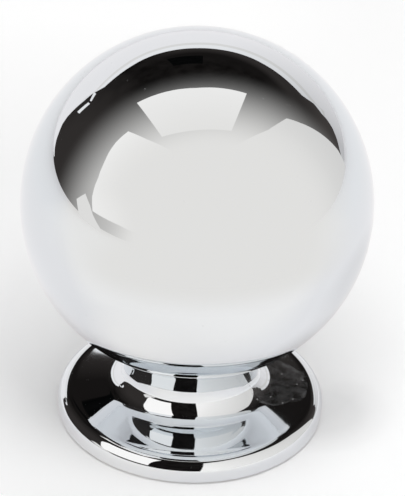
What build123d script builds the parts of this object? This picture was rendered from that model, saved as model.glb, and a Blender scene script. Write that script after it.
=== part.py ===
"""Round ball knob for a drawer or cabinet door, turned from one bar and plated.

A ball sits on a waisted stem, which sweeps through a cove into a wide round foot with a rolled rim.
A tapped blind hole in the underside of the foot takes the fixing screw.

The knob stands upright on its foot: the axis is +Z and the centre of the seat is the origin.
All sizes are in millimetres. Angles along the profile are those of the surface's normal: 90 faces up,
0 faces outward and a negative angle faces down.
"""

import os
from math import cos, radians, sin, sqrt, tan

from build123d import *

# Ball
ball_radius = 16.0
neck_fillet = 1.25

# Rim of the foot: rounded over the top, upright for a short way, with a smaller round at the seat
foot_radius = 12.3
rim_round = 1.35
rim_band = 0.53
seat_round = 0.57

# Top of the foot: it is level for a moment inside the rim, then curves up into a shallow cone
crest_blend_radius = 5.4
cone_normal = 84.7

# Cove that turns the foot's cone up into the stem: a tighter curve first, then a wider one
cove_entry_radius = 2.1
cove_entry_normal = 63.8
cove_radius = 2.52
cove_end_normal = 14.3

# Stem: its narrowest place, the curve through it and the flare up to the ball
waist_radius = 5.5
waist_curve_radius = 5.1
flare_normal = -9.9
flare_length = 1.0

# Tapped hole for an M4 fixing screw, left at its tapping-drill size
bore_radius = 1.65
bore_depth = 12.0
drill_tip_angle = 118.0
mouth_radius = 2.2

# How near its computed height an edge is looked for
edge_tolerance = 0.01


def radial_run(radius, start_normal, end_normal):
    """Distance towards the axis that an arc covers while its normal turns between two angles."""
    return radius * abs(cos(radians(end_normal)) - cos(radians(start_normal)))


# Derived places
crest_radius = foot_radius - rim_round
crest_height = seat_round + rim_band + rim_round
curved_run = (
    radial_run(crest_blend_radius, 90, cone_normal)
    + radial_run(cove_entry_radius, cone_normal, cove_entry_normal)
    + radial_run(cove_radius, cove_entry_normal, cove_end_normal)
    + radial_run(waist_curve_radius, cove_end_normal, 0)
)
cone_length = (crest_radius - waist_radius - curved_run) / sin(radians(cone_normal))
drill_tip_length = bore_radius / tan(radians(drill_tip_angle / 2))
mouth_depth = mouth_radius - bore_radius


with BuildPart() as knob_body:
    # Half section of foot, stem and ball, from the crest of the rim inwards and up to the pole
    with BuildSketch(Plane.XZ):
        with BuildLine():
            crest_blend = JernArc(
                (crest_radius, crest_height), (-1, 0), crest_blend_radius, cone_normal - 90
            )
            cone = PolarLine(crest_blend @ 1, cone_length, cone_normal + 90)
            cove_entry = JernArc(
                cone @ 1, cone % 1, cove_entry_radius, cove_entry_normal - cone_normal
            )
            cove = JernArc(
                cove_entry @ 1, cove_entry % 1, cove_radius, cove_end_normal - cove_entry_normal
            )
            waist = JernArc(
                cove @ 1, cove % 1, waist_curve_radius, flare_normal - cove_end_normal
            )
            flare = PolarLine(waist @ 1, flare_length, flare_normal + 90)
            # The ball's centre lies where its surface passes through the end of the flare
            neck = flare @ 1
            ball_centre_height = neck.Y + sqrt(ball_radius**2 - neck.X**2)
            pole = (0, ball_centre_height + ball_radius)
            ThreePointArc(neck, (ball_radius, ball_centre_height), pole)
            Line(pole, (0, 0))
            # Seat, and the outside of the rim back up to the crest
            Line((0, 0), (foot_radius - seat_round, 0))
            RadiusArc((foot_radius - seat_round, 0), (foot_radius, seat_round), -seat_round)
            Line((foot_radius, seat_round), (foot_radius, seat_round + rim_band))
            RadiusArc(
                (foot_radius, seat_round + rim_band), (crest_radius, crest_height), -rim_round
            )
        make_face()
    revolve(axis=Axis.Z)

    # Blend where the flare meets the ball
    neck_edge = (
        knob_body.edges()
        .filter_by(GeomType.CIRCLE)
        .filter_by_position(Axis.Z, neck.Y - edge_tolerance, neck.Y + edge_tolerance)
    )
    fillet(neck_edge, neck_fillet)

    # Tapped hole: countersunk mouth, parallel wall and the drill's point
    with BuildSketch(Plane.XZ):
        with BuildLine():
            Polyline(
                (0, 0),
                (mouth_radius, 0),
                (bore_radius, mouth_depth),
                (bore_radius, bore_depth),
                (0, bore_depth + drill_tip_length),
                close=True,
            )
        make_face()
    revolve(axis=Axis.Z, mode=Mode.SUBTRACT)

knob_body.part.label = "knob_body"

os.makedirs("parts", exist_ok=True)
export_step(knob_body.part, "parts/knob_body.step")
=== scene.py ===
"""Round ball knob: visual model, finishes and studio.

The knob is one turned surface: a half section walked from the drill point of the tapped hole, over the
seat and the rim, up the stem and over the ball, turned about the Z axis. The studio round it is a paper
floor, a pale backdrop, soft light panels, a small diffuser and dark walls, which the metal mirrors. The
diffuser glows and paints a light reflection on the ball's middle; the floor, backdrop and walls glow with
painted light and shade.
"""

import math

import bpy
import numpy as np
from bpy.props import FloatProperty, FloatVectorProperty, PointerProperty
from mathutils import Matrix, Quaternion, Vector


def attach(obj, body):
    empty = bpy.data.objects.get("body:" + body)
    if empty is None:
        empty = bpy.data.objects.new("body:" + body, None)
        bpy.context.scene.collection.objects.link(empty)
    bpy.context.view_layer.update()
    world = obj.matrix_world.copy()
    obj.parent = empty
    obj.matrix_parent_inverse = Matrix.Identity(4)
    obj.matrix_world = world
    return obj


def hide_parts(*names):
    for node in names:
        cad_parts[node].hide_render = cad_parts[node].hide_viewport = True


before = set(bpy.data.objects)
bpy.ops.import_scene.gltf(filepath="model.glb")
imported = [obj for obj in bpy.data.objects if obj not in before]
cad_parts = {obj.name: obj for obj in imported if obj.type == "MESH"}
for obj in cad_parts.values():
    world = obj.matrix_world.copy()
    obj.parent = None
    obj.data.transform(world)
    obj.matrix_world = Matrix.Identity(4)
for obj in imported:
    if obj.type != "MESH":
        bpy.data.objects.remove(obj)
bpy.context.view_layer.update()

bl_info = {
    "name": "Round ball knob",
    "version": (1, 0, 0),
    "blender": (4, 5, 0),
    "location": "View3D > Sidebar > Knob",
    "description": "Builds a turned and plated ball knob with its finishes and a studio to show it in",
    "category": "Add Mesh",
}

MM = 0.001


def length(label, text, value):
    """A length property in millimetres."""
    return FloatProperty(name=label, description=text + ", in millimetres", default=value, min=0.0, max=1000.0)


def angle(label, text, value):
    """An angle property in degrees."""
    return FloatProperty(name=label, description=text + ", in degrees", default=value, min=-180.0, max=180.0)


def colour(label, text, value, high=1.0):
    """A colour property."""
    return FloatVectorProperty(
        name=label, description=text, subtype="COLOR", size=3, default=value, min=0.0, max=high
    )


def factor(label, text, value, high=1.0):
    """A plain number between nothing and a limit."""
    return FloatProperty(name=label, description=text, default=value, min=0.0, max=high)


class KnobSizes(bpy.types.PropertyGroup):
    """Sizes of the turned section. Normals are in degrees: 90 faces up and 0 faces outward."""

    ball_radius: length("Ball radius", "Radius of the ball", 16.0)
    neck_fillet: length("Neck fillet", "Blend where the stem meets the ball", 1.25)
    foot_radius: length("Foot radius", "Outside radius of the foot", 12.3)
    rim_round: length("Rim round", "Round over the top of the rim", 1.35)
    rim_band: length("Rim band", "Upright height of the rim between its two rounds", 0.53)
    seat_round: length("Seat round", "Round between the seat and the outside of the rim", 0.57)
    crest_blend_radius: length("Crest blend radius", "Curve from the level crest up into the cone", 5.4)
    cone_normal: angle("Cone normal", "Normal of the foot's shallow cone", 84.7)
    cove_entry_radius: length("Cove entry radius", "Tighter curve at the foot of the cove", 2.1)
    cove_entry_normal: angle("Cove entry normal", "Normal where the tighter curve ends", 63.8)
    cove_radius: length("Cove radius", "Curve from the foot up into the stem", 2.52)
    cove_end_normal: angle("Cove end normal", "Normal where the cove ends", 14.3)
    waist_radius: length("Waist radius", "Radius of the stem at its narrowest", 5.5)
    waist_curve_radius: length("Waist curve radius", "Curve through the waist", 5.1)
    flare_normal: angle("Flare normal", "Normal of the flare below the ball", -9.9)
    flare_length: length("Flare length", "Length of the flare's straight side", 1.0)


class HoleSizes(bpy.types.PropertyGroup):
    """Sizes of the tapped hole."""

    bore_radius: length("Bore radius", "Radius at the crests of the thread", 1.65)
    bore_depth: length("Bore depth", "Depth of the drilled wall", 12.0)
    drill_tip_angle: angle("Drill tip angle", "Full angle of the drill's point", 118.0)
    mouth_radius: length("Mouth radius", "Radius of the countersunk mouth", 2.2)
    thread_pitch: length("Thread pitch", "Rise of the thread in one turn", 0.7)
    thread_depth: length("Thread depth", "Depth of the thread's groove", 0.36)
    thread_runout: length("Thread runout", "Height over which the thread fades near the bottom", 1.6)


class FinishLook(bpy.types.PropertyGroup):
    """Colours and textures of the metal."""

    chrome_colour: colour("Chrome", "Reflected colour of the plating", (0.735, 0.768, 0.797))
    chrome_edge: colour("Chrome edge", "Tint of the reflections at grazing angles", (0.99, 0.995, 1.0))
    chrome_roughness: factor("Chrome roughness", "Roughness of the polished plating", 0.018)
    dust_colour: colour("Dust", "Colour of the specks and of the smear on the foot", (0.75, 0.75, 0.75))
    seat_colour: colour("Seat", "Colour of the unpolished plating under the foot", (0.78, 0.79, 0.80))
    seat_roughness: factor("Seat roughness", "Roughness of the turned seat", 0.30)
    thread_colour: colour("Thread", "Colour of the metal in the tapped hole", (0.80, 0.66, 0.40))
    thread_roughness: factor("Thread roughness", "Roughness of the tapped hole", 0.28)


class StudioLook(bpy.types.PropertyGroup):
    """Colours and levels of the studio."""

    paper_colour: colour("Paper", "Colour of the floor", (0.88, 0.88, 0.88))
    # Paper glow: painted light and shade, dimmer behind the knob and by the foot, brighter in front and far off
    paper_glow: factor("Paper glow", "Brightness added to the floor where it is looked at", 0.16)
    paper_front: colour(
        "Paper front", "Colour of that brightness on the floor before the knob", (1.55, 1.32, 1.12), 4.0
    )
    paper_behind: colour("Paper behind", "Colour of that brightness behind the knob", (0.95, 0.78, 0.75))
    paper_painted_shade: colour("Paper right", "Colour of that brightness in the shade by the foot", (0.3, 0.16, 0.14))
    paper_far_front: colour(
        "Paper far front", "Colour of that brightness on the far floor in front", (1.65, 1.45, 1.25), 4.0
    )
    paper_far_back: colour(
        "Paper far back", "Colour of that brightness on the far floor at the back", (0.97, 0.89, 0.88), 4.0
    )
    # The sheet behind glows: its fall to the right is painted light from the left, its edge line is painted
    # shade
    backdrop_colour: colour("Backdrop", "Colour of the sheet behind", (1.0, 0.967, 0.962))
    backdrop_edge: colour("Backdrop edge", "Colour of the shaded line near the sheet's top", (0.87, 0.84, 0.81))
    backdrop_top: colour("Backdrop top", "Colour of the lighter strip along its top", (1.0, 0.98, 0.975))
    backdrop_level: factor("Backdrop level", "Brightness of the sheet behind", 1.025, 4.0)
    backdrop_fall: factor("Backdrop fall", "Share of that brightness left at the sheet's right end", 0.605)
    wall_colour: colour("Walls", "Colour of the dark studio walls", (0.0105, 0.0091, 0.0085))
    panel_colour: colour("Panels", "Colour of the light panels", (1.0, 0.959, 0.920))
    top_level: factor("Top panel level", "Brightness of the panel overhead", 1.145, 4.0)
    left_level: factor("Left panel level", "Brightness of the left panel", 1.28, 4.0)
    right_level: factor("Right panel level", "Brightness of the right panel at its near edge", 1.19, 4.0)
    right_far_level: factor("Right panel far level", "Brightness of the right panel at its far edge", 0.84, 4.0)
    card_level: factor("Grey card level", "Brightness of the small card below the left panel", 0.93, 4.0)
    # Veil: a glowing shell seen only by the metal, a painted reflection that lightens the ball's middle
    veil_colour: colour("Veil", "Colour of the small diffuser before the ball", (1.0, 0.956, 0.908))
    veil_level: factor("Veil level", "Brightness of the small diffuser before the ball", 1.014, 4.0)
    veil_thin: factor("Veil thinning", "Share that the diffuser is thinner by at its lower left", 0.3)
    sky_level: factor("Sky level", "Brightness of the even light on the floor", 0.50, 4.0)
    key_power: factor("Key power", "Power of the soft lamp above the front, in watts", 2.1, 100.0)
    fill_power: factor("Fill power", "Power of the soft lamp at the back, in watts", 0.6, 100.0)


class CameraPlace(bpy.types.PropertyGroup):
    """Place of the camera, seen from the centre of the ball."""

    elevation: angle("Elevation", "Height of the camera above the level of the ball", 33.0)
    roll: angle("Roll", "Turn of the camera about its view", 2.1)
    distance: length("Distance", "Distance from the centre of the ball", 400.0)
    focal: length("Focal length", "Focal length on a sensor 36 mm high", 321.6)
    picture_x: factor("Ball centre across", "Column of the ball's centre in the picture", 197.0, 405.0)
    picture_y: factor("Ball centre down", "Row of the ball's centre in the picture", 202.6, 496.0)


# Width and height of the picture that the camera's columns and rows are counted in, the sensor's height in
# millimetres, and how near and how far the camera sees, in metres
PICTURE = (405, 496)
SENSOR_HEIGHT = 36.0
CLIP = (0.01, 20.0)

# Share of the thread's pitch from the middle of its crest to where its flank begins, and to where it ends
FLANK_START, FLANK_END = 0.125, 0.4375
# Height in millimetres over which the thread begins at the mouth
THREAD_START = 0.1

# Points round the axis, and rows of points on the drill's tip, the hole's wall, its mouth, the seat and the
# ball
COLUMNS = 190
TIP_ROWS, BORE_ROWS, MOUTH_ROWS, SEAT_ROWS, BALL_ROWS = 4, 156, 5, 12, 170

# Angle in degrees between faces past which an edge is shown sharp
SHARP_ANGLE = 32


def feed(tree, socket, value):
    """Links a node's output to a socket, or sets the socket to a plain value."""
    if isinstance(value, bpy.types.NodeSocket):
        tree.links.new(value, socket)
    else:
        socket.default_value = value


def node(tree, kind, **sockets):
    """Adds a shader node and feeds its inputs by name."""
    made = tree.nodes.new(kind)
    for name, value in sockets.items():
        feed(tree, made.inputs[name.replace("_", " ")], value)
    return made


def new_material(name):
    """An empty node material with its output."""
    material = bpy.data.materials.new(name)
    material.use_nodes = True
    material.node_tree.nodes.clear()
    output = material.node_tree.nodes.new("ShaderNodeOutputMaterial")
    return material, material.node_tree, output


def mesh_object(name, points, faces, smooth=False):
    """A mesh object at the origin from arrays of points and of four-cornered faces.

    A face whose last two corners are the same is a triangle.
    """
    points = np.asarray(points, dtype=np.float32).reshape(-1, 3)
    faces = np.asarray(faces, dtype=np.int32)
    mesh = bpy.data.meshes.new(name)
    mesh.vertices.add(len(points))
    mesh.vertices.foreach_set("co", points.ravel())
    triangles = faces[:, 2] == faces[:, 3]
    counts = np.where(triangles, 3, 4)
    keep = np.ones(faces.shape, dtype=bool)
    keep[triangles, 3] = False
    mesh.loops.add(int(counts.sum()))
    mesh.loops.foreach_set("vertex_index", faces[keep])
    mesh.polygons.add(len(faces))
    mesh.polygons.foreach_set("loop_start", np.concatenate([[0], np.cumsum(counts)[:-1]]))
    mesh.polygons.foreach_set("loop_total", counts)
    mesh.polygons.foreach_set("use_smooth", np.full(len(faces), smooth))
    mesh.update(calc_edges=True)
    mesh.validate()
    made = bpy.data.objects.new(name, mesh)
    bpy.context.scene.collection.objects.link(made)
    return made


def walk_arc(start, radius, first, last, steps):
    """Points along an arc. It starts at a point and its surface normal turns from one angle to another.

    The point is the start plus or minus the radius times the difference of the two normals' directions.
    """
    turn = np.radians(np.linspace(first, last, steps + 1)[1:])
    side = math.copysign(radius, last - first)
    r = start[0] + side * (np.cos(turn) - math.cos(math.radians(first)))
    z = start[1] + side * (np.sin(turn) - math.sin(math.radians(first)))
    return np.stack([r, z], axis=1)


def walk_line(start, end, steps):
    """Evenly spaced points from one place to another, without the first."""
    share = np.linspace(0, 1, steps + 1)[1:, None]
    return np.asarray(start) * (1 - share) + np.asarray(end) * share


def radial_run(radius, first, last):
    """Distance towards the axis that an arc covers: the radius times the difference of two cosines."""
    return radius * abs(math.cos(math.radians(last)) - math.cos(math.radians(first)))


def outer_section(s):
    """Half section of the outside, from the edge of the seat up to the pole of the ball.

    Tangent arcs and lines follow each other, each given by its radius and the angles of its normal.
    The cone between crest and cove is as long as the foot's radius and the waist's leave for it. The
    ball's centre lies where its surface passes through the end of the flare, and a small fillet rolls
    between the two. The last number of each leg is how many rows of points it gets.
    """
    crest = np.array([s.foot_radius - s.rim_round, s.seat_round + s.rim_band + s.rim_round])
    runs = (
        radial_run(s.crest_blend_radius, 90, s.cone_normal)
        + radial_run(s.cove_entry_radius, s.cone_normal, s.cove_entry_normal)
        + radial_run(s.cove_radius, s.cove_entry_normal, s.cove_end_normal)
        + radial_run(s.waist_curve_radius, s.cove_end_normal, 0)
    )
    cone_length = (crest[0] - s.waist_radius - runs) / math.sin(math.radians(s.cone_normal))
    along = math.radians(s.cone_normal + 90)
    legs = [np.array([[s.foot_radius - s.seat_round, 0.0]])]
    legs.append(walk_arc(legs[-1][-1], s.seat_round, -90, 0, 14))
    legs.append(walk_line(legs[-1][-1], (s.foot_radius, s.seat_round + s.rim_band), 2))
    legs.append(walk_arc(legs[-1][-1], s.rim_round, 0, 90, 44))
    legs.append(walk_arc(legs[-1][-1], s.crest_blend_radius, 90, s.cone_normal, 12))
    cone_end = legs[-1][-1] + cone_length * np.array([math.cos(along), math.sin(along)])
    legs.append(walk_line(legs[-1][-1], cone_end, 6))
    legs.append(walk_arc(legs[-1][-1], s.cove_entry_radius, s.cone_normal, s.cove_entry_normal, 12))
    legs.append(walk_arc(legs[-1][-1], s.cove_radius, s.cove_entry_normal, s.cove_end_normal, 30))
    legs.append(walk_arc(legs[-1][-1], s.waist_curve_radius, s.cove_end_normal, s.flare_normal, 18))
    up = math.radians(s.flare_normal + 90)
    flare_start = legs[-1][-1]
    neck = flare_start + s.flare_length * np.array([math.cos(up), math.sin(up)])
    centre_z = neck[1] + math.sqrt(s.ball_radius**2 - neck[0] ** 2)
    # The fillet's centre is its radius away from the flare and from the ball, on the outside
    outward = np.array([math.cos(math.radians(s.flare_normal)), math.sin(math.radians(s.flare_normal))])
    travel = np.array([math.cos(up), math.sin(up)])
    offset = flare_start + s.neck_fillet * outward
    gap = offset - np.array([0.0, centre_z])
    reach = s.ball_radius + s.neck_fillet
    half = float(gap @ travel)
    slide = -half - math.sqrt(half * half - float(gap @ gap) + reach * reach)
    fillet_centre = offset + slide * travel
    to_ball = (np.array([0.0, centre_z]) - fillet_centre) / reach
    legs.append(walk_line(flare_start, fillet_centre - s.neck_fillet * outward, 5))
    ball_meets = math.degrees(math.atan2(-to_ball[1], -to_ball[0]))
    legs.append(walk_arc(legs[-1][-1], s.neck_fillet, s.flare_normal, ball_meets, 10))
    turn = np.radians(np.linspace(ball_meets, 90, BALL_ROWS + 1)[1:])
    ball = np.stack([s.ball_radius * np.cos(turn), centre_z + s.ball_radius * np.sin(turn)], axis=1)
    ball[-1, 0] = 0.0
    legs.append(ball)
    return np.concatenate(legs), centre_z


def hole_section(h):
    """Half section of the hole, from the drill's point down the wall to the mouth.

    The point is as high above the wall as the radius over the tangent of half the drill's angle. The mouth
    is cut at 45 degrees, so that it is as deep as it is wider than the wall.
    """
    tip = h.bore_depth + h.bore_radius / math.tan(math.radians(h.drill_tip_angle / 2))
    mouth_depth = h.mouth_radius - h.bore_radius
    point = walk_line((0.0, tip), (h.bore_radius, h.bore_depth), TIP_ROWS)
    wall = walk_line((h.bore_radius, h.bore_depth), (h.bore_radius, mouth_depth), BORE_ROWS)
    mouth = walk_line((h.bore_radius, mouth_depth), (h.mouth_radius, 0.0), MOUTH_ROWS)
    return np.concatenate([[[0.0, tip]], point, wall, mouth])


def turned_grid(section, columns):
    """Surface of revolution: every point of the half section carried round the Z axis.

    Across and back are its radius times the cosine and the sine of the turn, and its height stays.
    """
    turn = np.linspace(0, 2 * math.pi, columns, endpoint=False)
    x = section[:, :1] * np.cos(turn)
    y = section[:, :1] * np.sin(turn)
    z = np.repeat(section[:, 1:], columns, axis=1)
    return np.stack([x, y, z], axis=-1), turn


def cut_thread(grid, turn, first, last, h):
    """Moves the wall outward into a helical groove.

    The phase is the height over the pitch less the turn about the axis. The groove's section is a V
    with flat crests and a narrow flat root, and it fades out at the mouth and near the bottom.
    """
    z = grid[first:last, :, 2]
    phase = np.mod(z / h.thread_pitch - turn[None, :] / (2 * math.pi), 1.0)
    from_crest = 0.5 - np.abs(phase - 0.5)
    slope = np.clip((from_crest - FLANK_START) / (FLANK_END - FLANK_START), 0.0, 1.0)
    fade = np.clip((h.bore_depth - z) / h.thread_runout, 0.0, 1.0)
    start = np.clip((z - (h.mouth_radius - h.bore_radius)) / THREAD_START, 0.0, 1.0)
    swell = 1.0 + slope * h.thread_depth * fade * start / h.bore_radius
    grid[first:last, :, 0] *= swell
    grid[first:last, :, 1] *= swell


def closed_turned_faces(rows, columns):
    """Faces of a turned grid whose first and last rows are poles, each merged into a single point."""
    last = 1 + (rows - 2) * columns
    j = np.arange(columns)
    k = (j + 1) % columns
    i = np.arange(rows - 3)[:, None] * columns + 1
    body = np.stack([i + j, i + k, i + columns + k, i + columns + j], axis=-1).reshape(-1, 4)
    start = np.stack([np.zeros_like(j), 1 + k, 1 + j, 1 + j], axis=-1)
    top = last - columns
    end = np.stack([top + j, top + k, np.full_like(j, last), np.full_like(j, last)], axis=-1)
    return np.concatenate([start, body, end])


class KNOB_OT_body(bpy.types.Operator):
    """Turn the knob: ball, stem, foot and tapped hole as one closed surface"""

    bl_idname = "knob.body"
    bl_label = "Turn the knob"

    def execute(self, context):
        scene = context.scene
        hole = hole_section(scene.knob_hole)
        outside, centre_z = outer_section(scene.knob_sizes)
        seat = walk_line(hole[-1], outside[0], SEAT_ROWS)
        section = np.concatenate([hole, seat, outside[1:]])
        grid, turn = turned_grid(section, COLUMNS)
        cut_thread(grid, turn, 1 + TIP_ROWS, len(hole) - MOUTH_ROWS, scene.knob_hole)
        points = np.concatenate([grid[0, :1], grid[1:-1].reshape(-1, 3), grid[-1, :1]]) * MM
        faces = closed_turned_faces(len(section), COLUMNS)
        knob = mesh_object("turned_knob", points, faces, smooth=True)
        knob.data.set_sharp_from_angle(angle=math.radians(SHARP_ANGLE))
        hole_rows, seat_rows = len(hole) - 1, len(seat)
        slot = np.full(len(faces), 2, dtype=np.int32)
        slot[: COLUMNS * (hole_rows + seat_rows)] = 1
        slot[: COLUMNS * hole_rows] = 0
        for name in ("tapped metal", "turned seat", "polished chrome"):
            knob.data.materials.append(bpy.data.materials[name])
        knob.data.polygons.foreach_set("material_index", slot)
        knob.data.update()
        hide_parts("knob_body")
        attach(knob, "root")
        scene["ball_centre_z"] = centre_z * MM
        return {"FINISHED"}


def object_coordinates(tree, scale):
    """The piece's own coordinates, scaled, so that a pattern stays on the piece."""
    place = tree.nodes.new("ShaderNodeTexCoord").outputs["Object"]
    return node(tree, "ShaderNodeMapping", Vector=place, Scale=(scale, scale, scale)).outputs["Vector"]


def noise(tree, scale, detail, roughness):
    """A cloudy pattern with so many clouds to the metre."""
    place = object_coordinates(tree, scale)
    made = node(tree, "ShaderNodeTexNoise", Vector=place, Scale=1.0, Detail=detail, Roughness=roughness)
    return made.outputs["Fac"]


def ranged(tree, value, low, high, to_low, to_high):
    """Maps a value from one range to another, clamped."""
    made = node(
        tree, "ShaderNodeMapRange", Value=value, From_Min=low, From_Max=high, To_Min=to_low, To_Max=to_high
    )
    return made.outputs["Result"]


def reckoned(tree, operation, first, second, clamped=False):
    """One value from two, either of which may be a plain number."""
    made = tree.nodes.new("ShaderNodeMath")
    made.operation = operation
    made.use_clamp = clamped
    feed(tree, made.inputs[0], first)
    feed(tree, made.inputs[1], second)
    return made.outputs[0]


def bumped(tree, height, strength, distance):
    """The surface's normal, tipped by a pattern of heights."""
    made = node(tree, "ShaderNodeBump", Height=height, Strength=strength, Distance=distance)
    return made.outputs["Normal"]


def covered(tree, share, under, over):
    """One surface covered by another to a share between nothing and one."""
    made = node(tree, "ShaderNodeMixShader", Fac=share)
    tree.links.new(under, made.inputs[1])
    tree.links.new(over, made.inputs[2])
    return made.outputs[0]


def along(tree, axis, start, end):
    """Grows from nothing to one between two places on an axis of the piece's own coordinates, in metres."""
    place = tree.nodes.new("ShaderNodeTexCoord").outputs["Object"]
    return ranged(tree, node(tree, "ShaderNodeSeparateXYZ", Vector=place).outputs[axis], start, end, 0.0, 1.0)


def away(tree, place, near, far):
    """Grows from nothing to one with the distance from a place in the piece's own coordinates, in metres."""
    apart = tree.nodes.new("ShaderNodeVectorMath")
    apart.operation = "DISTANCE"
    feed(tree, apart.inputs[0], tree.nodes.new("ShaderNodeTexCoord").outputs["Object"])
    feed(tree, apart.inputs[1], place)
    return ranged(tree, apart.outputs["Value"], near, far, 0.0, 1.0)


def times(tint, share):
    """A colour made lighter or darker."""
    return tuple(share * c for c in tint)


def blended(tree, share, first, second):
    """A colour between two: either may be a plain colour or the output of another node."""
    made = tree.nodes.new("ShaderNodeMix")
    made.data_type = "RGBA"
    feed(tree, made.inputs["Factor"], share)
    for name, tint in (("A", first), ("B", second)):
        feed(tree, made.inputs[name], tint if isinstance(tint, bpy.types.NodeSocket) else (*tint, 1.0))
    return made.outputs["Result"]


# Middle of the smear on the foot, and the size that the shares of its outline are measured in, in metres
SMEAR_PLACE, SMEAR_SIZE = (0.0073, 0.0006, 0.0027), 0.005


def polished_chrome(look):
    """Mirror plating: clear reflections, the faintest polishing haze, specks of dust and a smear on the foot.

    The smear is a thin film inside a ragged circle about one place, thicker just inside its edge. Specks lie
    where a pattern of grains is near a grain's middle: in a few patches, and all over the smear. The haze is
    stronger below the ball, where buffing is harder.
    """
    material, tree, output = new_material("polished chrome")
    base = look.chrome_roughness
    haze = ranged(tree, noise(tree, 170.0, 3.0, 0.55), 0.35, 0.75, base * 0.5, base * 1.8)
    below = ranged(tree, along(tree, "Z", 0.006, 0.010), 0.0, 1.0, 1.9, 1.0)
    metal = node(
        tree, "ShaderNodeBsdfPrincipled", Metallic=1.0, Base_Color=(*look.chrome_colour, 1.0),
        Specular_Tint=(*look.chrome_edge, 1.0), Roughness=reckoned(tree, "MULTIPLY", haze, below),
        Normal=bumped(tree, noise(tree, 120.0, 1.0, 0.4), 0.02, 0.0001),
    )
    ragged = ranged(tree, noise(tree, 700.0, 4.0, 0.6), 0.3, 0.7, -0.06, 0.08)
    reach = reckoned(tree, "ADD", away(tree, SMEAR_PLACE, 0.0, SMEAR_SIZE), ragged)
    spread = ranged(tree, reach, 0.71, 0.75, 1.0, 0.0)
    edge = ranged(tree, reach, 0.64, 0.71, 0.8, 1.9)
    film = ranged(tree, noise(tree, 1100.0, 6.0, 0.75), 0.42, 0.60, 0.01, 0.1)
    smear = reckoned(tree, "MULTIPLY", reckoned(tree, "MULTIPLY", spread, edge), film)
    patches = ranged(tree, noise(tree, 260.0, 4.0, 0.6), 0.60, 0.80, 0.0, 0.2)
    dusty = reckoned(tree, "MAXIMUM", patches, ranged(tree, spread, 0.0, 1.0, 0.0, 0.38))
    grains = node(tree, "ShaderNodeTexVoronoi", Vector=object_coordinates(tree, 1500.0), Scale=1.0)
    speck = ranged(tree, grains.outputs["Distance"], 0.10, 0.19, 1.0, 0.0)
    amount = reckoned(tree, "MAXIMUM", reckoned(tree, "MULTIPLY", speck, dusty), smear)
    dust = node(tree, "ShaderNodeBsdfDiffuse", Color=(*look.dust_colour, 1.0))
    tree.links.new(covered(tree, amount, metal.outputs[0], dust.outputs[0]), output.inputs["Surface"])


def turned_seat(look):
    """Satin plating over the rings that facing left on the underside."""
    material, tree, output = new_material("turned seat")
    rings = node(
        tree, "ShaderNodeTexWave", Vector=object_coordinates(tree, 900.0), Scale=1.0, Distortion=0.6,
        Detail=2.0, Detail_Scale=4.0,
    )
    rings.wave_type = "RINGS"
    rings.rings_direction = "Z"
    base = look.seat_roughness
    metal = node(
        tree, "ShaderNodeBsdfPrincipled", Metallic=1.0, Base_Color=(*look.seat_colour, 1.0), Anisotropic=0.5,
        Roughness=ranged(tree, noise(tree, 300.0, 5.0, 0.6), 0.3, 0.7, base * 0.75, base * 1.35),
        Normal=bumped(tree, rings.outputs["Fac"], 0.25, 0.00004),
    )
    tree.links.new(metal.outputs[0], output.inputs["Surface"])


def tapped_metal(look):
    """Brass cut by the tap, darker where the plating hardly reached."""
    material, tree, output = new_material("tapped metal")
    stain = noise(tree, 700.0, 4.0, 0.6)
    stained = ranged(tree, stain, 0.4, 0.7, 0.0, 1.0)
    base = look.thread_roughness
    metal = node(
        tree, "ShaderNodeBsdfPrincipled", Metallic=1.0,
        Base_Color=blended(tree, stained, look.thread_colour, times(look.thread_colour, 0.55)),
        Roughness=ranged(tree, stain, 0.3, 0.7, base * 0.8, base * 1.4),
    )
    tree.links.new(metal.outputs[0], output.inputs["Surface"])


class KNOB_OT_finishes(bpy.types.Operator):
    """Make the metal's three finishes: polished plating, turned seat and tapped hole"""

    bl_idname = "knob.finishes"
    bl_label = "Make the finishes"

    def execute(self, context):
        look = context.scene.knob_finish
        polished_chrome(look)
        turned_seat(look)
        tapped_metal(look)
        return {"FINISHED"}


def facing(azimuth, elevation):
    """Direction from the ball's centre. Azimuth 0 is towards the front, and it grows to the right."""
    a, e = math.radians(azimuth), math.radians(elevation)
    return Vector((math.cos(e) * math.sin(a), -math.cos(e) * math.cos(a), math.sin(e)))


def weave(tree, scale, low, high):
    """Clouds of a cloth or a wall, from nothing to one between two values of the pattern."""
    return ranged(tree, noise(tree, scale, 4.0, 0.55), low, high, 0.0, 1.0)


def uneven(tree, tint, scale):
    """A colour with the faint clouds of cloth or paper, so many to the metre."""
    return blended(tree, weave(tree, scale, 0.3, 0.7), times(tint, 0.985), tint)


def shining(name, level, paint):
    """A material that shines with the colour that paint(tree) gives."""
    material, tree, output = new_material(name)
    glow = node(tree, "ShaderNodeEmission", Color=paint(tree), Strength=level)
    tree.links.new(glow.outputs[0], output.inputs["Surface"])
    return material


def cloth(name, tint, level):
    """Diffuser cloth lit from behind."""
    return shining(name, level, lambda tree: uneven(tree, tint, 6.0))


def faded_panel(look):
    """The right panel's cloth, which grows dimmer from its near edge to its far edge."""
    tint, share = look.panel_colour, look.right_far_level / look.right_level

    def paint(tree):
        return blended(tree, along(tree, "Y", -0.5, 0.1), uneven(tree, tint, 6.0), times(tint, share))

    return shining("right panel", look.right_level, paint)


def backdrop_paper(name, look, tint):
    """Pale sheet behind that glows, with painted light from the left, so that it darkens towards its right end.
    """

    def paint(tree):
        dim = times(tint, look.backdrop_fall)
        return blended(tree, along(tree, "X", 0.1, 1.2), uneven(tree, tint, 4.0), dim)

    return shining(name, look.backdrop_level, paint)


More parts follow.
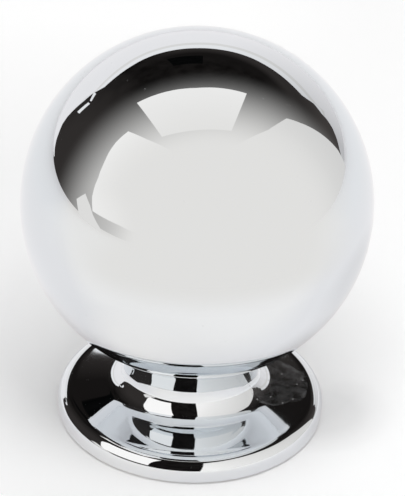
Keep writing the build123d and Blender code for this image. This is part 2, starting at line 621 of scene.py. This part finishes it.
def dark_walls(look):
    """Unlit studio: nearly black behind the sheet, a little lighter and browner to both sides, and uneven.

    A band just above the sheet is lighter too, and the right side is lightest low down. Places are in metres
    from the knob, and levels are shares of the walls' colour.
    """
    # The walls glow: their dim brightness, the lighter band and the lighter sides are painted light
    dark = look.wall_colour

    def paint(tree):
        cloudy = blended(tree, weave(tree, 2.2, 0.35, 0.65), times(dark, 0.55), times(dark, 1.3))
        band = blended(tree, along(tree, "Z", 1.95, 2.25), times(dark, 3.4), dark)
        back = blended(tree, along(tree, "Z", 2.3, 2.8), band, cloudy)
        back = blended(tree, along(tree, "X", -0.5, -1.2), back, cloudy)
        back = blended(tree, along(tree, "Y", 1.5, 0.5), back, cloudy)
        left = blended(tree, along(tree, "X", -1.8, -3.3), back, times(dark, 3.6))
        right = blended(tree, along(tree, "Z", 1.7, 0.9), times(dark, 3.2), times(dark, 6.0))
        return blended(tree, along(tree, "X", 1.7, 3.1), left, right)

    return shining("dark wall", 1.0, paint)


def black_felt():
    """Felt that hardly returns any light."""
    dark, light = (0.0015, 0.0018, 0.0018), (0.004, 0.004, 0.004)
    return shining("black felt", 1.0, lambda tree: blended(tree, weave(tree, 40.0, 0.3, 0.7), dark, light))


def looked_at(tree):
    """One for rays from the camera, from metal and through glass, and nothing for the light on things."""
    path = tree.nodes.new("ShaderNodeLightPath").outputs
    either = reckoned(tree, "ADD", path["Is Camera Ray"], path["Is Glossy Ray"])
    return reckoned(tree, "ADD", either, path["Is Transmission Ray"], clamped=True)


def only_mirrored(made):
    """Shows a studio piece in the metal's reflections alone."""
    made.visible_camera = False
    made.visible_diffuse = False
    made.visible_shadow = False
    made.visible_volume_scatter = False


def card(name, points, material):
    """A flat card inside one outline, which the metal alone sees."""
    mesh = bpy.data.meshes.new(name)
    mesh.from_pydata([tuple(p) for p in points], [], [tuple(range(len(points)))])
    mesh.materials.append(material)
    made = bpy.data.objects.new(name, mesh)
    bpy.context.scene.collection.objects.link(made)
    only_mirrored(made)


# Paper's painted light and shade as the metal sees it, in metres. Patches of painted shade beside the foot: the
# middle of each, how far from there it is full and where it ends
PAINTED_SHADES = (((0.014, 0.001, 0), 0.003, 0.009), ((0.027, 0.013, 0), 0.008, 0.020))
# The spot of painted light at the front left in the same way, and its level
FRONT_SPOT, FRONT_SPOT_LEVEL = ((-0.012, -0.016, 0), 0.004, 0.013), 1.15
# Where the back turns into the front near the foot, and where the front turns into the back further out
NEAR_TURN, FAR_TURN = (-0.010, -0.022), (-0.03, 0.03)
# Where each outer zone begins and is full, by distance from the knob, and the same for the strip at the back
OUTER_ZONE, FAR_ZONE, BACK_STRIP = (0.045, 0.11), (0.11, 0.9), (0.45, 0.85)
# Levels in the far zone at the front and at the back, and of the strip, beside the outer zone's
FAR_FRONT_LEVEL, FAR_BACK_LEVEL, STRIP_LEVEL = 1.4, 1.9, 2.5

# Paper's painted light and shade as the camera sees it, dimmer near the foot and to its left, in metres: its
# level at the start, then steps along an axis, each with the places where it begins and ends, and the level
# beyond
SEEN_START = 0.47
SEEN_STEPS = (("Y", 0.040, 0.070, 1.1), ("X", 0.004, 0.017, 0.9), ("Y", -0.002, -0.012, 0.92))
# Two spots by the foot, painted shadow at its right and painted light behind it: the middle of each, how far
# from there it is full and where it ends, and its level
SEEN_SPOTS = (((0.0125, 0, 0), 0.003, 0.007, 0.1), ((0, 0.012, 0), 0.012, 0.018, 1.15))


def mirrored_paper(tree, look):
    """Colour of the paper's brightness as the metal sees it, painted light and shade: from the foot outwards,
    three zones.

    Near the foot it is dimmer behind than in front, with painted shade beside the foot and a spot of painted
    light at the front left. Further out, in two zones, it is brighter in front too, and a far strip at the back
    is brightest.
    """
    near = look.paper_behind
    for middle, full, none in PAINTED_SHADES:
        near = blended(tree, away(tree, middle, full, none), look.paper_painted_shade, near)
    near = blended(tree, along(tree, "Y", *NEAR_TURN), near, look.paper_front)
    near = blended(tree, away(tree, *FRONT_SPOT), times(look.paper_front, FRONT_SPOT_LEVEL), near)
    front, back, knob = look.paper_far_front, look.paper_far_back, (0, 0, 0)
    outer = blended(tree, along(tree, "Y", *FAR_TURN), front, back)
    whole = blended(tree, away(tree, knob, *OUTER_ZONE), near, outer)
    far_front, far_back = times(front, FAR_FRONT_LEVEL), times(back, FAR_BACK_LEVEL)
    far = blended(tree, along(tree, "Y", *FAR_TURN), far_front, far_back)
    whole = blended(tree, away(tree, knob, *FAR_ZONE), whole, far)
    return blended(tree, along(tree, "Y", *BACK_STRIP), whole, times(back, STRIP_LEVEL))


def seen_paper(tree):
    """Colour of the paper's brightness as the camera sees it, painted light and shade: grey steps by place and
    two spots.
    """
    white = (1.0, 1.0, 1.0)
    seen = times(white, SEEN_START)
    for axis, start, end, level in SEEN_STEPS:
        seen = blended(tree, along(tree, axis, start, end), seen, times(white, level))
    for middle, full, none, level in SEEN_SPOTS:
        seen = blended(tree, away(tree, middle, full, none), times(white, level), seen)
    return seen


def paper(look):
    """Matt white paper with a faint tooth and a glow of painted light and shade. From below it is clear, so
    that the seat can be looked at.
    """
    material, tree, output = new_material("floor paper")
    tone = blended(tree, noise(tree, 900.0, 5.0, 0.6), times(look.paper_colour, 0.985), look.paper_colour)
    sheet = node(tree, "ShaderNodeBsdfPrincipled", Base_Color=tone, Roughness=0.9, Specular_IOR_Level=0.1)
    path = tree.nodes.new("ShaderNodeLightPath").outputs
    # The glow adds painted light and shade: one pattern as the metal sees the paper, another as the camera sees
    # it
    shown = blended(tree, path["Is Camera Ray"], mirrored_paper(tree, look), seen_paper(tree))
    dark = node(tree, "ShaderNodeEmission", Strength=0.0)
    glow = node(tree, "ShaderNodeEmission", Color=shown, Strength=look.paper_glow)
    both = tree.nodes.new("ShaderNodeAddShader")
    tree.links.new(sheet.outputs[0], both.inputs[0])
    tree.links.new(covered(tree, looked_at(tree), dark.outputs[0], glow.outputs[0]), both.inputs[1])
    below = tree.nodes.new("ShaderNodeNewGeometry").outputs["Backfacing"]
    clear = tree.nodes.new("ShaderNodeBsdfTransparent")
    tree.links.new(covered(tree, below, both.outputs[0], clear.outputs[0]), output.inputs["Surface"])
    return material


# Corners of the light panels and of the small card, as azimuth and elevation from the ball's centre in
# degrees, and how far away they are in metres
TOP_PANEL = ((-119, 52), (-174, 68.7), (136, 57), (68, 70.2), (-61, 64.6))
LEFT_PANEL = (
    (-90.2, 48.9), (-70.9, 56.8), (-51.2, 60.8), (-32, 61), (-31, 6.2), (-50, 6.8), (-69.9, 5.2), (-74, 11.2),
    (-76, 17), (-77.1, 21.6), (-78.6, 24.4), (-79.9, 27.5), (-81.6, 30.6), (-83.5, 33.5), (-85.3, 36.7),
    (-87.2, 40.3), (-88.7, 44.5),
)
RIGHT_PANEL = (
    (114.4, 39.7), (116.2, 31.3), (117.8, 20.8), (120.2, 12.3), (121.4, 4.7), (120.5, -1.7), (10, -1.7),
    (19, 60), (77.2, 55.8), (95.2, 51.3),
)
SMALL_CARD = (
    (-79, 10), (-83.5, 3.8), (-77.9, -1.7), (-59.9, -2.4), (-61.3, -0.2), (-68.2, 3.8), (-72.6, 7.2),
)
PANEL_REACH, CARD_REACH = 0.7, 0.4

# Outline of the sheet behind, as across and up in metres: its ends and top, then its foot
SHEET_RISE = (
    (-1.17, 0.086), (-1.06, 0.115), (-1.005, 0.166), (-0.98, 0.233), (-0.93, 0.355), (-0.86, 0.43),
    (-0.84, 0.50), (-0.81, 0.555), (-0.725, 0.556), (-0.648, 0.553), (-0.574, 0.545), (-0.507, 0.538),
    (-0.443, 0.528), (-0.382, 0.517), (-0.30, 0.510), (-0.177, 0.512), (-0.03, 0.515), (0.108, 0.504),
    (0.203, 0.492), (0.301, 0.486), (0.411, 0.492), (0.531, 0.495), (0.666, 0.496), (0.739, 0.492),
    (0.80, 0.485), (0.826, 0.44), (0.846, 0.355), (0.947, 0.305), (0.978, 0.24), (1.054, 0.181),
    (1.196, 0.139),
)
SHEET_FOOT = (
    (1.35, 0.113), (1.45, 0.08), (1.70, 0.03), (1.70, 0.0), (-1.70, 0.0), (-1.70, 0.02), (-1.457, 0.033),
    (-1.285, 0.054),
)
# How far behind the knob the three layers stand, and how much lower than the outline each is cut
SHEET_PLACES, SHEET_CUTS = (0.9, 0.902, 0.904), (0.148, 0.09, 0.0)
# The cut's growth to the right, and in metres how far from the middle it has run out at both ends, and over
# what width
CUT_GROWTH, CUT_REACH, CUT_END = 0.22, 1.0, 0.2
# Corners of the two flaps of the bent corner, four each, and of the black screen
BENT_CORNER = (
    (-0.84, 0.904, 0.435), (-0.90, 0.904, 0.511), (-1.044, 0.904, 0.546), (-1.004, 0.904, 0.493),
    (-1.025, 0.904, 0.482), (-1.094, 0.904, 0.555), (-1.191, 0.904, 0.429), (-1.095, 0.904, 0.352),
)
BLACK_SCREEN = ((-0.265, 0.893, 0.71), (0.005, 0.893, 0.71), (0.005, 0.893, 0.95), (-0.265, 0.893, 0.95))

# The floor's half width and its level, just under the seat, in metres
FLOOR_HALF, FLOOR_LEVEL = 1.3, -0.00002
# The walls' radius in metres, the points round them and the rows of faces from pole to pole
WALL_RADIUS, WALL_COLUMNS, WALL_ROWS = 4.0, 48, 24

# Place and size of the two lamps, in metres
KEY_PLACE, KEY_SIZE = (0.015, -0.25, 0.65), 0.35
FILL_PLACE, FILL_SIZE = (0.20, 0.24, 0.62), 0.5

# The veil is a painted reflection: a glowing shell that lightens the middle of the ball
# The veil before the ball: its radius in metres, its first and last angle and number of points round and up,
# and in degrees its middle and the angles from there where it is full and where it ends, the heights where
# it is full and ends at its lower edge, and its thinner place in the same way as its middle
VEIL_RADIUS = 0.017
VEIL_AROUND, VEIL_UP = (-90, 110, 101), (-11, 90, 51)
VEIL_MIDDLE, VEIL_FULL, VEIL_NONE = (6.3, 18.1), 33.7, 65.5
VEIL_LOW_FULL, VEIL_LOW_NONE = 3, -10
VEIL_THIN_PLACE, VEIL_THIN_FULL, VEIL_THIN_NONE = (-36, 20), 2, 14


def faded(value, full, none):
    """One at a first value and nothing at a second, along the smooth curve 3t^2 - 2t^3 between them."""
    share = np.clip((value - none) / (full - none), 0, 1)
    return share * share * (3 - 2 * share)


class KNOB_OT_stage(bpy.types.Operator):
    """Set up the paper floor, the backdrop, the light panels, the dark walls, the veil and the lamps"""

    bl_idname = "knob.stage"
    bl_label = "Set up the studio"

    def execute(self, context):
        scene = context.scene
        look = scene.knob_studio
        centre = Vector((0, 0, scene["ball_centre_z"]))
        self.panels(look, centre)
        self.floor(look)
        self.backdrop(look)
        self.walls(look)
        self.veil(look, centre)
        self.air(scene, look)
        self.lamp("key_lamp", KEY_PLACE, KEY_SIZE, look.key_power)
        self.lamp("fill_lamp", FILL_PLACE, FILL_SIZE, look.fill_power)
        return {"FINISHED"}

    def panels(self, look, centre):
        """Flat light panels, whose corners lie in given directions from the ball's centre."""
        tint = look.panel_colour
        for name, corners, reach, material in (
            ("panel_top", TOP_PANEL, PANEL_REACH, cloth("top panel", tint, look.top_level)),
            ("panel_left", LEFT_PANEL, PANEL_REACH, cloth("left panel", tint, look.left_level)),
            ("panel_right", RIGHT_PANEL, PANEL_REACH, faded_panel(look)),
            ("small_card", SMALL_CARD, CARD_REACH, cloth("grey card", tint, look.card_level)),
        ):
            card(name, [centre + facing(a, e) * reach for a, e in corners], material)

    def floor(self, look):
        """Sheet of paper just under the seat."""
        square = np.array([(-1, -1), (1, -1), (1, 1), (-1, 1)]) * FLOOR_HALF
        corners = np.column_stack([square, np.full(4, FLOOR_LEVEL)])
        floor = mesh_object("floor", corners, np.array([[0, 1, 2, 3]]))
        floor.data.materials.append(paper(look))

    def backdrop(self, look):
        """Pale sheet behind with a folded top: its edge, a thin line of painted shade and a lighter strip above
        it.

        Three flat sheets stand one behind the other. Each has the same outline, cut lower the nearer it is.
        The cut grows to the right and runs out at both ends. Two small flaps at the left are the sheet's bent
        corner, and a black screen stands above the sheet.
        """
        across, up = np.array(SHEET_RISE).T
        share = np.clip((CUT_REACH - np.abs(across)) / CUT_END, 0.0, 1.0)
        layers = (
            ("backdrop", "backdrop sheet", look.backdrop_colour),
            ("backdrop_edge", "sheet edge", look.backdrop_edge),
            ("backdrop_top", "sheet top", look.backdrop_top),
        )
        for (name, paper_name, tint), y, lower in zip(layers, SHEET_PLACES, SHEET_CUTS):
            top = np.column_stack([across, up - lower * (1 + CUT_GROWTH * across) * share])
            outline = np.insert(np.concatenate([top, SHEET_FOOT]), 1, y, axis=1)
            card(name, outline, backdrop_paper(paper_name, look, tint))
        corner = mesh_object("backdrop_corner", BENT_CORNER, np.array([[0, 1, 2, 3], [4, 5, 6, 7]]))
        corner.data.materials.append(bpy.data.materials["sheet top"])
        only_mirrored(corner)
        screen = mesh_object("black_screen", BLACK_SCREEN, np.array([[0, 1, 2, 3]]))
        screen.data.materials.append(black_felt())
        only_mirrored(screen)

    def walls(self, look):
        """Dark walls all round, on a sphere: rings of points between two poles."""
        turn = np.linspace(0, 2 * math.pi, WALL_COLUMNS, endpoint=False)
        rise = np.linspace(-math.pi / 2, math.pi / 2, WALL_ROWS + 1)[1:-1, None]
        shell = np.stack(
            [np.cos(rise) * np.cos(turn), np.cos(rise) * np.sin(turn), np.sin(rise) + 0 * turn], -1
        )
        points = np.concatenate([[[0, 0, -1]], shell.reshape(-1, 3), [[0, 0, 1]]]) * WALL_RADIUS
        walls = mesh_object("studio_walls", points, closed_turned_faces(WALL_ROWS + 1, WALL_COLUMNS))
        walls.data.materials.append(dark_walls(look))
        only_mirrored(walls)

    def air(self, scene, look):
        """White where it is looked at, and an even, dimmer light on things."""
        world = bpy.data.worlds.new("studio air")
        scene.world = world
        world.use_nodes = True
        tree = world.node_tree
        tree.nodes.clear()
        white = (1.0, 1.0, 1.0, 1.0)
        seen = node(tree, "ShaderNodeBackground", Color=white, Strength=1.0)
        even = node(tree, "ShaderNodeBackground", Color=white, Strength=look.sky_level)
        output = tree.nodes.new("ShaderNodeOutputWorld")
        surface = covered(tree, looked_at(tree), even.outputs[0], seen.outputs[0])
        tree.links.new(surface, output.inputs["Surface"])

    def lamp(self, name, place, size, power):
        """A square soft lamp aimed at the foot. The metal doesn't mirror it."""
        light = bpy.data.lights.new(name, "AREA")
        light.size = size
        light.energy = power
        made = bpy.data.objects.new(name, light)
        bpy.context.scene.collection.objects.link(made)
        made.location = place
        made.rotation_mode = "QUATERNION"
        made.rotation_quaternion = (-Vector(place)).to_track_quat("-Z", "Y")
        made.visible_glossy = False
        made.visible_camera = False

    def veil(self, look, centre):
        """A small glowing diffuser just off the front of the ball, seen only by the metal: a painted
        reflection.

        Its points lie on a sphere about the ball's centre. Its density falls off smoothly with the angle
        from the direction of its middle, and again towards its lower edge, and one place at its lower left
        is thinner.
        """
        azimuth = np.radians(np.linspace(*VEIL_AROUND))[None, :]
        rise = np.radians(np.linspace(*VEIL_UP))[:, None]
        shell = np.stack(
            [np.cos(rise) * np.sin(azimuth), -np.cos(rise) * np.cos(azimuth), np.sin(rise) + 0 * azimuth], -1
        ).reshape(-1, 3)
        columns = azimuth.size
        i = np.arange(rise.size - 1)[:, None] * columns
        j = np.arange(columns - 1)[None, :]
        faces = np.stack([i + j, i + j + 1, i + columns + j + 1, i + columns + j], -1).reshape(-1, 4)
        made = mesh_object("front_veil", shell * VEIL_RADIUS + np.array(centre), faces, smooth=True)

        def apart(place):
            """Angle of each point from a direction, in degrees."""
            return np.degrees(np.arccos(np.clip(shell @ np.array(facing(*place)), -1, 1)))

        low = np.degrees(rise + 0 * azimuth).ravel()
        thinner = look.veil_thin * faded(apart(VEIL_THIN_PLACE), VEIL_THIN_FULL, VEIL_THIN_NONE)
        thickness = faded(apart(VEIL_MIDDLE), VEIL_FULL, VEIL_NONE) * faded(low, VEIL_LOW_FULL, VEIL_LOW_NONE)
        layer = made.data.attributes.new("cloth", "FLOAT", "POINT")
        layer.data.foreach_set("value", (thickness * (1 - thinner)).astype(np.float32))
        material, tree, output = new_material("veil cloth")
        glow = node(tree, "ShaderNodeEmission", Color=(*look.veil_colour, 1.0), Strength=look.veil_level)
        clear = tree.nodes.new("ShaderNodeBsdfTransparent")
        thick = tree.nodes.new("ShaderNodeAttribute")
        thick.attribute_name = "cloth"
        surface = covered(tree, thick.outputs["Fac"], clear.outputs[0], glow.outputs[0])
        tree.links.new(surface, output.inputs["Surface"])
        made.data.materials.append(material)
        only_mirrored(made)


class KNOB_OT_camera(bpy.types.Operator):
    """Place the camera in front of the knob, looking down on it"""

    bl_idname = "knob.camera"
    bl_label = "Place the camera"

    def execute(self, context):
        scene = context.scene
        place = scene.knob_camera
        rise = math.radians(place.elevation)
        back = Vector((0, -math.cos(rise), math.sin(rise)))
        camera = bpy.data.cameras.new("camera")
        camera.sensor_fit = "VERTICAL"
        camera.sensor_height = SENSOR_HEIGHT
        camera.lens = place.focal
        camera.shift_x = (PICTURE[0] / 2 - place.picture_x) / PICTURE[1]
        camera.shift_y = -(PICTURE[1] / 2 - place.picture_y) / PICTURE[1]
        camera.clip_start, camera.clip_end = CLIP
        made = bpy.data.objects.new("camera", camera)
        scene.collection.objects.link(made)
        made.location = Vector((0, 0, scene["ball_centre_z"])) + back * place.distance * MM
        made.rotation_mode = "QUATERNION"
        level = (-back).to_track_quat("-Z", "Y")
        made.rotation_quaternion = Quaternion(back, math.radians(place.roll)) @ level
        scene.camera = made
        scene.view_settings.view_transform = "Standard"
        return {"FINISHED"}


class KNOB_PT_panel(bpy.types.Panel):
    """Lists the sizes and the steps in the sidebar"""

    bl_label = "Ball knob"
    bl_idname = "KNOB_PT_panel"
    bl_space_type = "VIEW_3D"
    bl_region_type = "UI"
    bl_category = "Knob"

    def draw(self, context):
        scene = context.scene
        for name, group in GROUPS.items():
            box = self.layout.box()
            for field in group.__annotations__:
                box.prop(getattr(scene, name), field)
        for step in STEPS:
            self.layout.operator(step)


GROUPS = {
    "knob_sizes": KnobSizes,
    "knob_hole": HoleSizes,
    "knob_finish": FinishLook,
    "knob_studio": StudioLook,
    "knob_camera": CameraPlace,
}
OPERATORS = (KNOB_OT_finishes, KNOB_OT_body, KNOB_OT_stage, KNOB_OT_camera)
STEPS = tuple(made.bl_idname for made in OPERATORS)


def register():
    """Registers the property groups, the operators and the panel."""
    for name, group in GROUPS.items():
        bpy.utils.register_class(group)
        setattr(bpy.types.Scene, name, PointerProperty(type=group))
    for made in OPERATORS + (KNOB_PT_panel,):
        bpy.utils.register_class(made)


def unregister():
    """Takes them away again."""
    for made in (KNOB_PT_panel,) + OPERATORS[::-1]:
        bpy.utils.unregister_class(made)
    for name, group in GROUPS.items():
        delattr(bpy.types.Scene, name)
        bpy.utils.unregister_class(group)


def main():
    register()
    bpy.ops.knob.finishes()
    bpy.ops.knob.body()
    bpy.ops.knob.stage()
    bpy.ops.knob.camera()


if __name__ == "__main__":
    main()
